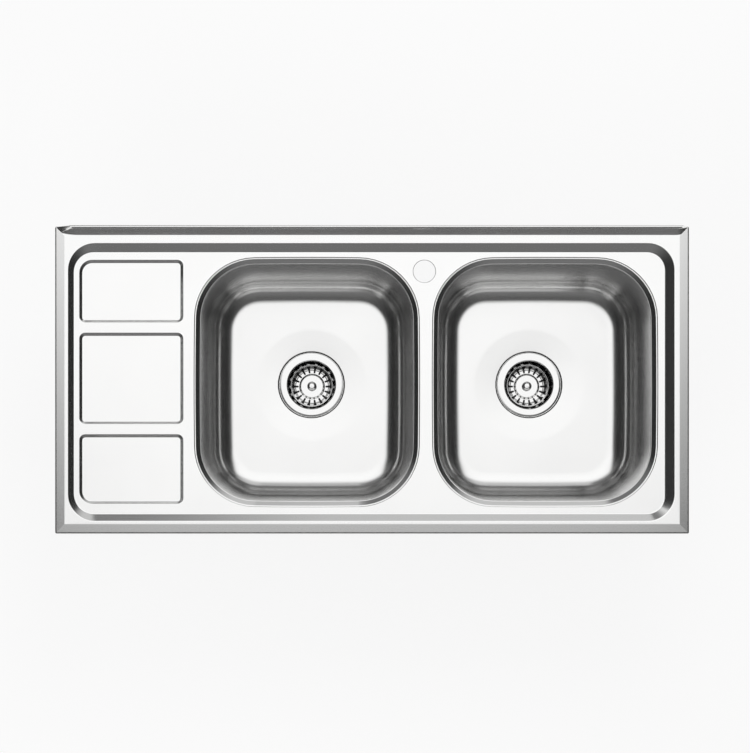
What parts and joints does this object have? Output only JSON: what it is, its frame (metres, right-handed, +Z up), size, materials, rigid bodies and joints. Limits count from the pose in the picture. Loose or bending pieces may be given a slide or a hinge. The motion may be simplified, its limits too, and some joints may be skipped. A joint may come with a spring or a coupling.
{
  "type": "double bowl kitchen sink",
  "caption": "Lay-on stainless kitchen sink with two bowls, a drainer with three recessed trays, a rear upstand and lift-out basket strainers.",
  "frame": {"origin": "middle of the plan, on the plane where the rim rests on the cabinet", "axes": "+X from the drainer towards the right bowl, +Y from the front edge to the rear upstand, +Z up"},
  "size_m": [1, 0.485, 0.3216],
  "materials": {
    "stainless_sheet": "satin",
    "polished_stainless": "polished",
    "galvanised_steel": "zinc coated",
    "foam_strip": "closed-cell foam",
    "black_rubber": "matt",
    "bitumen_pad": "matt",
    "white_plastic": "moulded polypropylene",
    "brass": "turned"
  },
  "bodies": {
    "sink": {"deck": "stainless_sheet", "sealing_strip": "foam_strip", "drainer_rails": "galvanised_steel", "fixing_brackets": "galvanised_steel", "bracket_rivets": "galvanised_steel", "left_bowl": "stainless_sheet", "left_sound_pad": "bitumen_pad", "left_strainer_cup": "polished_stainless", "left_flange_seal": "black_rubber", "left_body_gasket": "black_rubber", "left_waste_body": "white_plastic", "left_waste_insert": "brass", "left_clamp_screw": "polished_stainless", "right_bowl": "stainless_sheet", "right_sound_pad": "bitumen_pad", "right_strainer_cup": "polished_stainless", "right_flange_seal": "black_rubber", "right_body_gasket": "black_rubber", "right_waste_body": "white_plastic", "right_waste_insert": "brass", "right_clamp_screw": "polished_stainless"},
    "left_basket": {"left_basket": "polished_stainless", "left_basket_stopper": "black_rubber", "left_basket_knob": "polished_stainless"},
    "right_basket": {"right_basket": "polished_stainless", "right_basket_stopper": "black_rubber", "right_basket_knob": "polished_stainless"}
  },
  "joints": [
    {"name": "left_basket_lift", "type": "slide", "parent": "sink", "child": "left_basket", "axis": [0, 0, 1], "range_m": [0, 0.265]},
    {"name": "right_basket_lift", "type": "slide", "parent": "sink", "child": "right_basket", "axis": [0, 0, 1], "range_m": [0, 0.265]}
  ]
}
